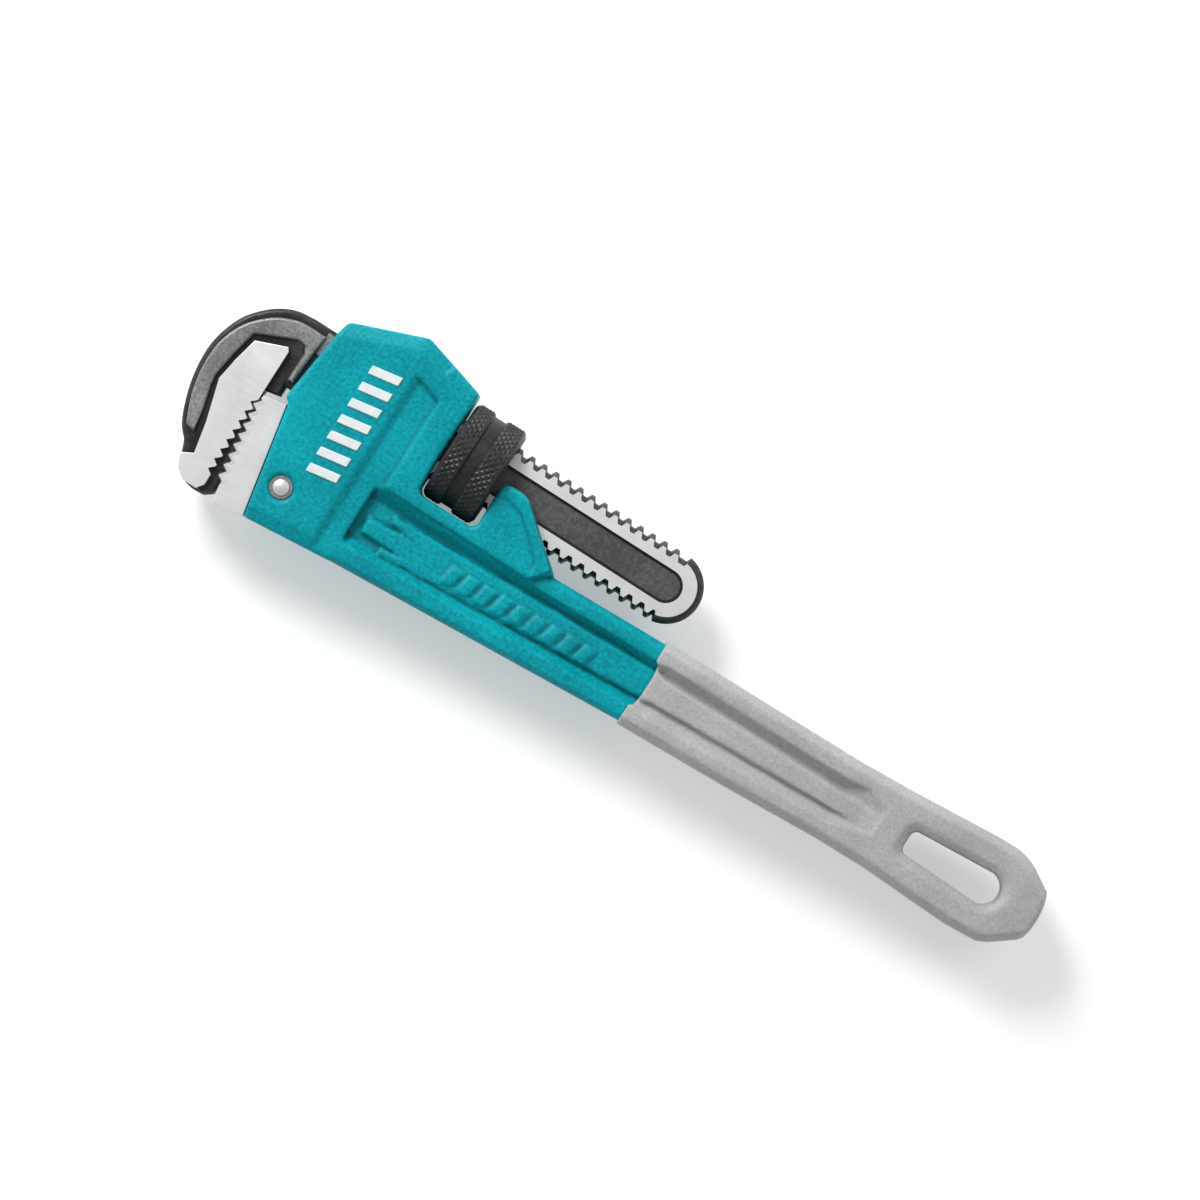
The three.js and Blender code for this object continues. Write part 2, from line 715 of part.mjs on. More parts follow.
// The stud riveted through the leaf, which keeps the coil spring in place.
function springStud() {
  const low = LEAF.base - 0.22;
  const profile = [
    [0, low],
    [0.75, low],
    [0.75, low + 2.6],
    [1.5, low + 2.9],
    [1.5, low + 4],
    [1.1, low + 4.6],
    [0, low + 4.6],
  ];
  return solidOf(new THREE.LatheGeometry(vectors(profile), 20).translate(SPRING_X, 0, 0));
}

function coilSpring() {
  const wire = Array.from({ length: 8 }, (_, i) => [
    COIL.wire * Math.sin((i * Math.PI) / 4),
    COIL.radius + COIL.wire * Math.cos((i * Math.PI) / 4),
  ]);
  const turns = COIL.turns * 2 * Math.PI;
  const wound = helix(wire, COIL.pitch, 0, turns, COIL.turns * 14);
  return wound.rotate([0, 0, 90]).translate([SPRING_X, COIL.foot, 0]);
}

// ---- assembly ----
const steel = { roughness: 0.32, metalness: 1 };
const FINISH = {
  paint: new THREE.MeshStandardMaterial({ color: 0x0a9aa3, roughness: 0.45, metalness: 0.05 }),
  grip: new THREE.MeshStandardMaterial({ color: 0xa3a3a3, roughness: 0.7, metalness: 0 }),
  forged: new THREE.MeshStandardMaterial({ color: 0x2b2a2a, roughness: 0.6, metalness: 0.4 }),
  ground: new THREE.MeshStandardMaterial({ color: 0xd6d4d2, ...steel }),
  spring: new THREE.MeshStandardMaterial({ color: 0x77787c, ...steel }),
};

const PIECES = {
  handle_body: [handleBody, FINISH.paint],
  handle_grip: [gripSkin, FINISH.grip],
  hook_jaw: [hookJaw, FINISH.forged],
  heel_jaw: [heelJaw, FINISH.ground],
  heel_jaw_pin: [heelJawPin, FINISH.ground],
  adjusting_nut: [adjustingNut, FINISH.forged],
  leaf_spring: [leafSpring, FINISH.spring],
  spring_stud: [springStud, FINISH.spring],
  coil_spring: [coilSpring, FINISH.spring],
};

const wrench = new THREE.Group();
const laid = new THREE.Group();
for (const [name, [make, material]] of Object.entries(PIECES)) {
  const mesh = new THREE.Mesh(geometryOf(make()), material);
  mesh.name = name;
  laid.add(mesh);
}
const box = new THREE.Box3().setFromObject(laid);
const middle = box.getCenter(new THREE.Vector3());
laid.position.set(-middle.x, -middle.y, -box.min.z);
wrench.add(laid);

export default wrench;
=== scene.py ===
"""A heavy-duty pipe wrench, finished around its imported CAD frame.

Every piece is placed in millimetres from the centre of the adjusting nut: x runs along the shank
towards the handle's end, y towards the wrench's back and z through its thickness.
"""

import math

import bmesh
import bpy
from mathutils import Matrix, Vector


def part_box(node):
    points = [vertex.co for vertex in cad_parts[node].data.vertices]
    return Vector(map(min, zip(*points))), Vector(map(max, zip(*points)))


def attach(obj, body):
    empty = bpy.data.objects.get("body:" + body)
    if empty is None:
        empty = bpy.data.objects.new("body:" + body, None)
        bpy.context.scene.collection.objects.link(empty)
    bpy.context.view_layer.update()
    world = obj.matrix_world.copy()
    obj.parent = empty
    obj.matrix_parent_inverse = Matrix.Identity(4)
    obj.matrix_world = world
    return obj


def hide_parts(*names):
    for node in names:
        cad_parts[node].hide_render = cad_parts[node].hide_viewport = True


bl_info = {
    "name": "Pipe Wrench",
    "version": (1, 0, 0),
    "blender": (4, 5, 0),
    "location": "View3D > Sidebar > Wrench",
    "description": "Builds the finished pieces of a pipe wrench on its CAD frame",
    "category": "Add Mesh",
}

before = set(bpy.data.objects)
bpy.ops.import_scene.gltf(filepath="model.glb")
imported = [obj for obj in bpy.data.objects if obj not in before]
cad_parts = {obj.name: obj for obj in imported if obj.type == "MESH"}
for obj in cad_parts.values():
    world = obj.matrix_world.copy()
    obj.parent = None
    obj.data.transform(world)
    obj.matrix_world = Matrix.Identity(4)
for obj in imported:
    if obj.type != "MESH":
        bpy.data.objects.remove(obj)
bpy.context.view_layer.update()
MM = 0.001


def middle(node):
    """The middle of a CAD node's box, in metres."""
    low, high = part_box(node)
    return (Vector(low) + Vector(high)) / 2


NUT_CENTRE = middle("adjusting_nut")
NUT_RADIUS = (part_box("adjusting_nut")[1][1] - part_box("adjusting_nut")[0][1]) / 2 / MM

# Heights of the wrench's flat faces above its middle plane, and where the grip's coat starts along x.
HEAD_FACE = (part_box("handle_body")[1][2] - NUT_CENTRE.z) / MM
SHANK_FACE = 5.6
RING_FACE = 7.0
GRIP_START = (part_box("handle_grip")[0][0] - NUT_CENTRE.x) / MM


def at(x, y, z=0.0):
    """A point in millimetres from the nut's centre, as a point of the frame in metres."""
    return NUT_CENTRE + Vector((x, y, z)) * MM


# ---------------------------------------------------------------- user settings


class WrenchSizes(bpy.types.PropertyGroup):
    """Sizes of the details that are added to the CAD pieces."""

    cast_grid: bpy.props.FloatProperty(
        name="Cast Grid",
        description="Grid on which the casting and the coat are made soft",
        default=0.56 * MM,
        min=0.3 * MM,
        subtype="DISTANCE",
        unit="LENGTH",
    )
    cast_softness: bpy.props.IntProperty(
        name="Cast Softness",
        description="How many times the casting and the coat are smoothed",
        default=5,
        min=0,
        max=30,
    )
    knurl_height: bpy.props.FloatProperty(
        name="Knurl Height",
        description="Height of the knurl's points above the nut",
        default=0.35 * MM,
        min=0.0,
        subtype="DISTANCE",
        unit="LENGTH",
    )
    mark_height: bpy.props.FloatProperty(
        name="Raised Mark Height",
        description="How far the cast bars stand above the surface round them",
        default=0.45 * MM,
        min=0.0,
        subtype="DISTANCE",
        unit="LENGTH",
    )


class WrenchColours(bpy.types.PropertyGroup):
    """Colours of the finishes."""

    enamel: bpy.props.FloatVectorProperty(
        name="Enamel",
        description="Colour of the enamel on the casting",
        subtype="COLOR",
        default=(0.0, 0.308, 0.364),
        min=0.0,
        max=1.0,
    )
    coat: bpy.props.FloatVectorProperty(
        name="Grip Coat",
        description="Colour of the dipped coat on the handle",
        subtype="COLOR",
        default=(0.42, 0.42, 0.42),
        min=0.0,
        max=1.0,
    )
    mark: bpy.props.FloatVectorProperty(
        name="Raised Mark",
        description="Colour of the paint on the head's raised bars",
        subtype="COLOR",
        default=(0.82, 0.83, 0.84),
        min=0.0,
        max=1.0,
    )
    floor: bpy.props.FloatVectorProperty(
        name="Floor",
        description="Colour of the studio floor",
        subtype="COLOR",
        default=(0.86, 0.86, 0.86),
        min=0.0,
        max=1.0,
    )


def sizes():
    """The sizes that the panel shows."""
    return bpy.context.scene.wrench_sizes


def colours():
    """The colours that the panel shows."""
    return bpy.context.scene.wrench_colours


# ---------------------------------------------------------------- shader groups


def new_group(name, inputs, outputs):
    """An empty node group with named float inputs and outputs, and its two end nodes."""
    tree = bpy.data.node_groups.new(name, "ShaderNodeTree")
    for label, value in inputs:
        socket = tree.interface.new_socket(label, in_out="INPUT", socket_type="NodeSocketFloat")
        socket.default_value = value
    for label in outputs:
        tree.interface.new_socket(label, in_out="OUTPUT", socket_type="NodeSocketFloat")
    return tree, tree.nodes.new("NodeGroupInput"), tree.nodes.new("NodeGroupOutput")


def node(tree, kind, values=None, **settings):
    """A node with its attributes and its unlinked sockets set."""
    made = tree.nodes.new(kind)
    for key, value in settings.items():
        setattr(made, key, value)
    for key, value in (values or {}).items():
        made.inputs[key].default_value = value
    return made


def maths(tree, operation, first, second=None, clamp=False):
    """A Math node on two values, each given as a number or a socket."""
    made = node(tree, "ShaderNodeMath", operation=operation, use_clamp=clamp)
    for socket, value in zip(made.inputs, (first, second)):
        if value is None:
            continue
        if isinstance(value, (int, float)):
            socket.default_value = value
        else:
            tree.links.new(value, socket)
    return made.outputs[0]


def noise(tree, vector, scale, detail=3.0, rough=0.5):
    """A noise value from 0 to 1, at a scale given as a number or a socket."""
    made = node(tree, "ShaderNodeTexNoise", {"Detail": detail, "Roughness": rough})
    tree.links.new(vector, made.inputs["Vector"])
    if isinstance(scale, (int, float)):
        made.inputs["Scale"].default_value = scale
    else:
        tree.links.new(scale, made.inputs["Scale"])
    return made.outputs["Fac"]


def stretch(tree, low, high, value):
    """Maps low to 0 and high to 1, and clamps the rest."""
    made = node(tree, "ShaderNodeMapRange", {"From Min": low, "From Max": high})
    tree.links.new(value, made.inputs["Value"])
    return made.outputs["Result"]


def spread(tree, mask, low, high):
    """A value that runs from low to high over a mask."""
    return maths(tree, "ADD", maths(tree, "MULTIPLY", mask, high - low), low)


def object_place(tree):
    """Where a point lies on its piece, which every pattern reads."""
    return node(tree, "ShaderNodeTexCoord").outputs["Object"]


def bend_mask(tree, start, end):
    """How sharply the surface bends, as 0 at one value of pointiness and 1 at the other."""
    made = node(tree, "ShaderNodeMapRange")
    tree.links.new(node(tree, "ShaderNodeNewGeometry").outputs["Pointiness"], made.inputs["Value"])
    tree.links.new(start, made.inputs["From Min"])
    tree.links.new(end, made.inputs["From Max"])
    return made.outputs["Result"]


def cast_skin_group():
    """Sprayed enamel over a sand-cast surface: a fine orange peel, soft lumps and a mottle."""
    tree, given, out = new_group("Cast Skin", [("Grain Scale", 700.0)], ["Height", "Mottle"])
    place = object_place(tree)
    grain = noise(tree, place, given.outputs["Grain Scale"], 4.0, 0.6)
    cells = node(tree, "ShaderNodeTexVoronoi", {"Scale": 900.0}, feature="SMOOTH_F1")
    tree.links.new(place, cells.inputs["Vector"])
    lumps = noise(tree, place, 160.0, 2.0)
    peel = maths(tree, "MULTIPLY", cells.outputs["Distance"], 0.45)
    height = maths(tree, "ADD", maths(tree, "ADD", grain, peel), maths(tree, "MULTIPLY", lumps, 0.8))
    tree.links.new(height, out.inputs["Height"])
    broad = noise(tree, place, 45.0, 3.0)
    mottle = maths(tree, "ADD", maths(tree, "MULTIPLY", broad, 0.35), maths(tree, "MULTIPLY", grain, 0.65))
    tree.links.new(stretch(tree, 0.4, 0.6, mottle), out.inputs["Mottle"])
    return tree


def crease_shade_group():
    """A soft mask in the inner corners, for painted shade where creases and grooves fall dark."""
    tree, given, out = new_group("Crease Shade", [("Shallow", 0.498), ("Deep", 0.465)], ["Mask"])
    place = object_place(tree)
    dent = bend_mask(tree, given.outputs["Shallow"], given.outputs["Deep"])
    patches = spread(tree, noise(tree, place, 120.0, 4.0), 0.6, 1.3)
    tree.links.new(maths(tree, "MULTIPLY", dent, patches, clamp=True), out.inputs["Mask"])
    return tree


def edge_wear_group():
    """A broken mask on the edges that stand out, where finishes thin and rub through."""
    tree, given, out = new_group("Edge Wear", [("Low", 0.52), ("High", 0.58)], ["Mask"])
    place = object_place(tree)
    edge = bend_mask(tree, given.outputs["Low"], given.outputs["High"])
    patches = stretch(tree, 0.35, 0.6, noise(tree, place, 350.0, 5.0, 0.65))
    tree.links.new(maths(tree, "MULTIPLY", edge, patches), out.inputs["Mask"])
    return tree


def ground_lines_group():
    """The fine parallel lines a grinding wheel leaves along x, with a slow change of tone."""
    tree, given, out = new_group("Ground Lines", [("Fineness", 5200.0)], ["Height", "Tone"])
    place = object_place(tree)
    turned = node(tree, "ShaderNodeMapping", {"Rotation": (0.0, 0.0, 0.35), "Scale": (0.025, 1.0, 1.0)})
    tree.links.new(place, turned.inputs["Vector"])
    lines = noise(tree, turned.outputs["Vector"], given.outputs["Fineness"], 3.0, 0.6)
    tree.links.new(lines, out.inputs["Height"])
    slow = noise(tree, place, 60.0, 3.0)
    tone = maths(tree, "ADD", maths(tree, "MULTIPLY", lines, 0.5), maths(tree, "MULTIPLY", slow, 0.5))
    tree.links.new(stretch(tree, 0.3, 0.7, tone), out.inputs["Tone"])
    return tree


def shop_soil_group():
    """Faint smudges of oil and dust, as a mask that changes slowly over the surface."""
    tree, given, out = new_group("Shop Soil", [("Size", 90.0)], ["Mask"])
    place = object_place(tree)
    smudge = noise(tree, place, given.outputs["Size"], 6.0, 0.6)
    tree.links.new(stretch(tree, 0.45, 0.75, smudge), out.inputs["Mask"])
    return tree


GROUP_MAKERS = {
    "Cast Skin": cast_skin_group,
    "Edge Wear": edge_wear_group,
    "Crease Shade": crease_shade_group,
    "Ground Lines": ground_lines_group,
    "Shop Soil": shop_soil_group,
}


def place_group(tree, name, **values):
    """One of the shared groups, placed in a material with its own values."""
    shared = bpy.data.node_groups.get(name) or GROUP_MAKERS[name]()
    made = node(tree, "ShaderNodeGroup", node_tree=shared)
    for key, value in values.items():
        made.inputs[key.replace("_", " ")].default_value = value
    return made


# ---------------------------------------------------------------- materials

THIN_ENAMEL = (0.04, 0.46, 0.5)
RUBBED_PAINT = (0.35, 0.55, 0.57)
BARE_STEEL = (0.36, 0.35, 0.34)
OILED_STEEL = (0.6, 0.58, 0.56)
SPRING_BLUE, SPRING_GREY, SPRING_STRAW = (0.2, 0.2, 0.22), (0.36, 0.35, 0.35), (0.22, 0.19, 0.15)


def blank(name, **sockets):
    """A material with its Principled shader's plain sockets set."""
    made = bpy.data.materials.new(name)
    made.use_nodes = True
    shader = made.node_tree.nodes["Principled BSDF"]
    for key, value in sockets.items():
        shader.inputs[key.replace("_", " ")].default_value = value
    return made, made.node_tree, shader


def mix(tree, mask, first, second):
    """Blends two colours, each given as a colour or a socket, by a mask."""
    made = node(tree, "ShaderNodeMix", data_type="RGBA")
    tree.links.new(mask, made.inputs["Factor"])
    for socket, value in ((made.inputs[6], first), (made.inputs[7], second)):
        if isinstance(value, bpy.types.NodeSocket):
            tree.links.new(value, socket)
        else:
            socket.default_value = (*value, 1.0)
    return made.outputs[2]


def bumped(tree, shader, height, strength, distance):
    """Tilts the shader's normal by a height whose full relief is the distance, in metres."""
    bump = node(tree, "ShaderNodeBump", {"Strength": strength, "Distance": distance})
    tree.links.new(height, bump.inputs["Height"])
    tree.links.new(bump.outputs["Normal"], shader.inputs["Normal"])


def shaded(colour, factor):
    """A colour made darker or lighter by a factor."""
    return tuple(channel * factor for channel in colour)


def enamel():
    """Semi-gloss enamel on the sand casting, with painted shade in its inner creases, and thin and pale on
    its edges.
    """
    colour = tuple(colours().enamel)
    made, tree, shader = blank("Enamel", Coat_Weight=0.05, Coat_Roughness=0.35, Specular_IOR_Level=0.12)
    skin = place_group(tree, "Cast Skin", Grain_Scale=900.0)
    wear = place_group(tree, "Edge Wear", Low=0.515, High=0.57)
    soil = place_group(tree, "Shop Soil", Size=110.0)
    painted_crease_shade = place_group(tree, "Crease Shade")
    body = mix(tree, skin.outputs["Mottle"], shaded(colour, 0.76), shaded(colour, 1.2))
    rubbed = mix(tree, maths(tree, "MULTIPLY", wear.outputs["Mask"], 0.3), body, THIN_ENAMEL)
    dulled = mix(tree, maths(tree, "MULTIPLY", soil.outputs["Mask"], 0.25), rubbed, shaded(colour, 0.7))
    # Painted shade: the enamel is darkened in its inner creases and grooves by the crease mask.
    deep = mix(tree, maths(tree, "MULTIPLY", painted_crease_shade.outputs["Mask"], 0.9), dulled, shaded(colour, 0.25))
    tree.links.new(deep, shader.inputs["Base Color"])
    tree.links.new(spread(tree, skin.outputs["Mottle"], 0.4, 0.52), shader.inputs["Roughness"])
    bumped(tree, shader, skin.outputs["Height"], 0.6, 0.0002)
    return made


def dipped_coat():
    """The soft grey coat of the grip: satin, faintly pebbled, rubbed smoother where it is held and darkened
    by painted shade in its creases.
    """
    colour = tuple(colours().coat)
    made, tree, shader = blank("Dipped Coat", IOR=1.45)
    skin = place_group(tree, "Cast Skin", Grain_Scale=1100.0)
    soil = place_group(tree, "Shop Soil", Size=70.0)
    painted_crease_shade = place_group(tree, "Crease Shade")
    body = mix(tree, skin.outputs["Mottle"], shaded(colour, 0.86), shaded(colour, 1.12))
    worn = mix(tree, maths(tree, "MULTIPLY", soil.outputs["Mask"], 0.3), body, shaded(colour, 0.8))
    # Painted shade: the coat is darkened in its inner creases by the crease mask.
    deep = mix(tree, maths(tree, "MULTIPLY", painted_crease_shade.outputs["Mask"], 0.6), worn, shaded(colour, 0.45))
    tree.links.new(deep, shader.inputs["Base Color"])
    tree.links.new(spread(tree, soil.outputs["Mask"], 0.56, 0.44), shader.inputs["Roughness"])
    bumped(tree, shader, skin.outputs["Height"], 0.6, 0.0002)
    return made


def ground_steel(name="Ground Steel", bright=0.86):
    """Bright ground steel with the wheel's lines and a few darker smudges."""
    made, tree, shader = blank(name, Metallic=0.6)
    lines = place_group(tree, "Ground Lines", Fineness=4200.0)
    soil = place_group(tree, "Shop Soil", Size=150.0)
    tone = mix(tree, lines.outputs["Tone"], (bright * 0.92,) * 3, (bright * 1.05,) * 3)
    smudge = maths(tree, "MULTIPLY", soil.outputs["Mask"], 0.2)
    stained = mix(tree, smudge, tone, shaded(OILED_STEEL, bright))
    tree.links.new(stained, shader.inputs["Base Color"])
    tree.links.new(spread(tree, lines.outputs["Tone"], 0.34, 0.48), shader.inputs["Roughness"])
    bumped(tree, shader, lines.outputs["Height"], 0.25, 0.00003)
    return made


def dark_steel(name, grey, rough, grain, relief, worn):
    """Dark-finished forged steel: grainy scale, rubbed to bare metal on its edges."""
    colour = (grey, grey, grey)
    made, tree, shader = blank(name, Specular_IOR_Level=0.5)
    skin = place_group(tree, "Cast Skin", Grain_Scale=grain)
    wear = place_group(tree, "Edge Wear", Low=0.52, High=0.6)
    rub = maths(tree, "MULTIPLY", wear.outputs["Mask"], worn)
    body = mix(tree, skin.outputs["Mottle"], shaded(colour, 0.72), shaded(colour, 1.25))
    tree.links.new(mix(tree, rub, body, BARE_STEEL), shader.inputs["Base Color"])
    tree.links.new(spread(tree, rub, 0.55, 0.95), shader.inputs["Metallic"])
    dull = spread(tree, skin.outputs["Mottle"], rough - 0.07, rough + 0.08)
    tree.links.new(dull, shader.inputs["Roughness"])
    bumped(tree, shader, skin.outputs["Height"], relief, 0.00012)
    return made


def spring_steel():
    """Tempered spring steel: smooth, straw to blue-grey."""
    made, tree, shader = blank("Spring Steel", Metallic=1.0)
    lines = place_group(tree, "Ground Lines", Fineness=2600.0)
    soil = place_group(tree, "Shop Soil", Size=400.0)
    tone = mix(tree, lines.outputs["Tone"], SPRING_BLUE, SPRING_GREY)
    tree.links.new(mix(tree, soil.outputs["Mask"], tone, SPRING_STRAW), shader.inputs["Base Color"])
    tree.links.new(spread(tree, soil.outputs["Mask"], 0.3, 0.45), shader.inputs["Roughness"])
    bumped(tree, shader, lines.outputs["Height"], 0.12, 0.00003)
    return made


def mark_paint():
    """White paint rolled on the tops of the raised bars, thin at their edges."""
    colour = tuple(colours().mark)
    made, tree, shader = blank("Mark Paint", IOR=1.5)
    skin = place_group(tree, "Cast Skin", Grain_Scale=900.0)
    wear = place_group(tree, "Edge Wear", Low=0.53, High=0.62)
    body = mix(tree, skin.outputs["Mottle"], shaded(colour, 0.95), colour)
    rubbed = mix(tree, maths(tree, "MULTIPLY", wear.outputs["Mask"], 0.6), body, RUBBED_PAINT)
    tree.links.new(rubbed, shader.inputs["Base Color"])
    tree.links.new(spread(tree, skin.outputs["Mottle"], 0.38, 0.5), shader.inputs["Roughness"])
    bumped(tree, shader, skin.outputs["Height"], 0.25, 0.0001)
    return made


FINISHES = {
    "enamel": enamel,
    "dipped coat": dipped_coat,
    "ground steel": ground_steel,
    "rivet steel": lambda: ground_steel("Rivet Steel", 0.7),
    "black steel": lambda: dark_steel("Black Steel", 0.022, rough=0.48, grain=900.0, relief=0.35, worn=0.15),
    "forged grey": lambda: dark_steel("Forged Grey", 0.26, rough=0.5, grain=1100.0, relief=0.6, worn=0.2),
    "forged recess": lambda: dark_steel("Forged Recess", 0.1, rough=0.55, grain=900.0, relief=0.8, worn=0.1),
    "nut steel": lambda: dark_steel("Nut Steel", 0.03, rough=0.46, grain=1000.0, relief=0.2, worn=0.1),
    "spring steel": spring_steel,
    "mark paint": mark_paint,
}
made_finishes = {}


def finish(name):
    """The material of a finish, made when it is first asked for."""
    if name not in made_finishes:
        made_finishes[name] = FINISHES[name]()
    return made_finishes[name]


# ---------------------------------------------------------------- mesh helpers


def piece_from(bm, name, body, finishes, smooth=True):
    """Turns a finished bmesh into an object that rides on a body and takes its finish from a slot."""
    mesh = bpy.data.meshes.new(name)
    bm.to_mesh(mesh)
    bm.free()
    for label in finishes:
        mesh.materials.append(finish(label))
    for face in mesh.polygons:
        face.use_smooth = smooth
    made = bpy.data.objects.new(name, mesh)
    bpy.context.scene.collection.objects.link(made)
    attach(made, body)
    return made


def merged_copy(cad_node, flat_within=0.6):
    """The CAD node's triangles joined into faces flat within so many degrees, in a new bmesh."""
    bm = bmesh.new()
    bm.from_mesh(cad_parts[cad_node].data)
    bmesh.ops.remove_doubles(bm, verts=bm.verts, dist=0.002 * MM)
    bmesh.ops.dissolve_limit(
        bm,
        angle_limit=math.radians(flat_within),
        verts=bm.verts,
        edges=bm.edges,
        use_dissolve_boundaries=False,
    )
    bm.normal_update()
    return bm


def crisp(piece, angle=50.0):
    """Keeps the flats flat, shades the chamfers and curves round and leaves the steep edges sharp."""
    mesh = piece.data
    bm = bmesh.new()
    bm.from_mesh(mesh)
    for edge in bm.edges:
        edge.smooth = len(edge.link_faces) == 2 and edge.calc_face_angle() < math.radians(angle)
    bm.to_mesh(mesh)
    bm.free()
    weighted = piece.modifiers.new("Flat Faces", "WEIGHTED_NORMAL")
    weighted.keep_sharp = True
    weighted.weight = 80


def soften(piece, grid):
    """Re-makes a piece on a fine grid and smooths it, as castings and dipped coats are."""
    remesh = piece.modifiers.new("Even Grid", "REMESH")
    remesh.mode = "VOXEL"
    remesh.voxel_size = grid
    remesh.use_smooth_shade = True
    smooth = piece.modifiers.new("Soft Edges", "SMOOTH")
    smooth.factor = 0.5
    smooth.iterations = sizes().cast_softness


def score(bm, point, normal, **clear):
    """Splits the faces that cross a plane, and clears one side of it where that is asked for."""
    geometry = [*bm.verts, *bm.edges, *bm.faces]
    bmesh.ops.bisect_plane(bm, geom=geometry, plane_co=point, plane_no=normal, **clear)


def cut_across(bm, x, keep):
    """Cuts at x, in millimetres from the nut, keeps the side below (-1) or above (1) and caps it."""
    score(bm, at(x, 0), (1, 0, 0), clear_outer=keep < 0, clear_inner=keep > 0)
    close_open_edges(bm)


def close_open_edges(bm):
    """Fills the holes of a mesh with triangles and points all its faces outwards."""
    open_edges = [edge for edge in bm.edges if edge.is_boundary]
    bmesh.ops.holes_fill(bm, edges=open_edges, sides=0)
    bmesh.ops.triangulate(bm, faces=[face for face in bm.faces if len(face.verts) > 4])
    bmesh.ops.recalc_face_normals(bm, faces=bm.faces)


def sort_faces(bm, choose):
    """Gives each face the index of its finish, chosen from its middle and its normal in millimetres."""
    for face in bm.faces:
        centre = (face.calc_center_median() - NUT_CENTRE) / MM
        face.material_index = choose(centre, face.normal)


def raised_bar(bm, corners, base, top, round_by=0.35):
    """A flat-topped bar over four corners, from one height to another, its upper edges rounded."""
    face = bm.faces.new([bm.verts.new(at(x, y, base)) for x, y in corners])
    grown = bmesh.ops.extrude_face_region(bm, geom=[face], use_keep_orig=True)["geom"]
    tops = [part for part in grown if isinstance(part, bmesh.types.BMVert)]
    bmesh.ops.translate(bm, verts=tops, vec=Vector((0, 0, (top - base) * MM)))
    edges = dict.fromkeys(edge for vert in tops for edge in vert.link_edges)
    bmesh.ops.bevel(
        bm,
        geom=list(edges),
        offset=round_by * MM,
        affect="EDGES",
        segments=2,
        profile=0.5,
        material=-1,
    )


# ---------------------------------------------------------------- handle

PANEL_FACE = 9.6 - 1.7  # height of the panel's face where it begins
PANEL_BEGIN = -21.6
PANEL_FALL = 2.7 / 236.1  # how far the face falls for each millimetre along x
COVERED = 5.0  # how far the enamelled casting runs on under the grip's coat
COAT_MOUTH = 2.4  # how far the scalloped mouth of the coat reaches along x

PIP_COUNT = 9
PIP_FROM, PIP_TO = 10.0, 62.0  # the row's reach along x
PIP_LOW, PIP_LOW_RISE = -35.2, 1.9  # along y at the row's start, and how much it rises to the row's end
PIP_HIGH, PIP_HIGH_RISE = -29.4, 1.7
PIP_LEAN = 1.3
PIP_HEIGHT = 0.75
PIP_ROOT = 1.0  # how deep a lozenge starts below the panel's face

# The raised border of the lug beside the nut, as quads from its inner line out to the lug's edge.
LUG_INNER = ((12.8, -3.0), (20.3, -4.5), (27.8, -11.1), (31.6, -14.9), (32.2, -20.0))
LUG_OUTER = ((13.4, -0.1), (19.7, -0.7), (28.4, -8.0), (36.6, -14.9), (33.9, -18.6))
LUG_BORDER = 0.7  # how far it stands above the head's face
LUG_ROOT = 1.4  # how deep it starts below that face


def panel_face(x):
    """Height of the panel's face at x."""
    return PANEL_FACE - PANEL_FALL * (x - PANEL_BEGIN)


def add_pips(bm):
    """Plain slanted lozenges cast on both panels, where such a handle carries its size."""
    pitch = (PIP_TO - PIP_FROM) / PIP_COUNT
    width = pitch * 0.62
    for side in (1, -1):
        for i in range(PIP_COUNT):
            x = PIP_FROM + pitch * i
            share = (x - PIP_FROM) / (PIP_TO - PIP_FROM)
            low, high = PIP_LOW + PIP_LOW_RISE * share, PIP_HIGH + PIP_HIGH_RISE * share
            corners = [(x, low), (x + width, low), (x + width + PIP_LEAN, high), (x + PIP_LEAN, high)]
            face = panel_face(x) * side
            raised_bar(bm, corners, face - PIP_ROOT * side, face + PIP_HEIGHT * side, 0.3)


def add_lug_border(bm):
    """The low rib round the lug beside the nut, on both sides."""
    for side in (1, -1):
        for (a, b), (c, d) in zip(zip(LUG_INNER, LUG_INNER[1:]), zip(LUG_OUTER, LUG_OUTER[1:])):
            raised_bar(bm, [a, b, d, c], (HEAD_FACE - LUG_ROOT) * side, (HEAD_FACE + LUG_BORDER) * side, 0.15)


def build_casting():
    """The enamelled casting as far as the coat, and a plain copy of the rest of it inside the coat."""
    bm = merged_copy("handle_body")
    cut_across(bm, GRIP_START + COVERED, -1)
    add_pips(bm)
    add_lug_border(bm)
    bmesh.ops.recalc_face_normals(bm, faces=bm.faces)
    made = piece_from(bm, "handle_casting", "handle", ["enamel"])
    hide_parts("handle_body")
    soften(made, sizes().cast_grid)
    core = merged_copy("handle_body")
    cut_across(core, GRIP_START + COVERED, 1)
    crisp(piece_from(core, "handle_under_coat", "handle", ["enamel"]))


def build_grip():
    """The coat's outer skin, closed at its mouth; the handle inside it is never seen."""
    bm = merged_copy("handle_grip")
    mouth_end = GRIP_START + COAT_MOUTH

    def in_mouth(face):
        centre = (face.calc_center_median() - NUT_CENTRE) / MM
        return centre.x < mouth_end and face.normal.x < -0.12 and abs(face.normal.z) < 0.5

    bmesh.ops.delete(bm, geom=[face for face in bm.faces if in_mouth(face)], context="FACES")
    outside = {max(bm.verts, key=lambda vert: vert.co.x)}
    rim = list(outside)
    while rim:
        near = {link.other_vert(vert) for vert in rim for link in vert.link_edges} - outside
        outside |= near
        rim = list(near)
    bmesh.ops.delete(bm, geom=[vert for vert in bm.verts if vert not in outside], context="VERTS")
    close_open_edges(bm)
    made = piece_from(bm, "grip_coat", "handle", ["dipped coat"])
    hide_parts("handle_grip")
    soften(made, sizes().cast_grid * 1.05)


# ---------------------------------------------------------------- jaws

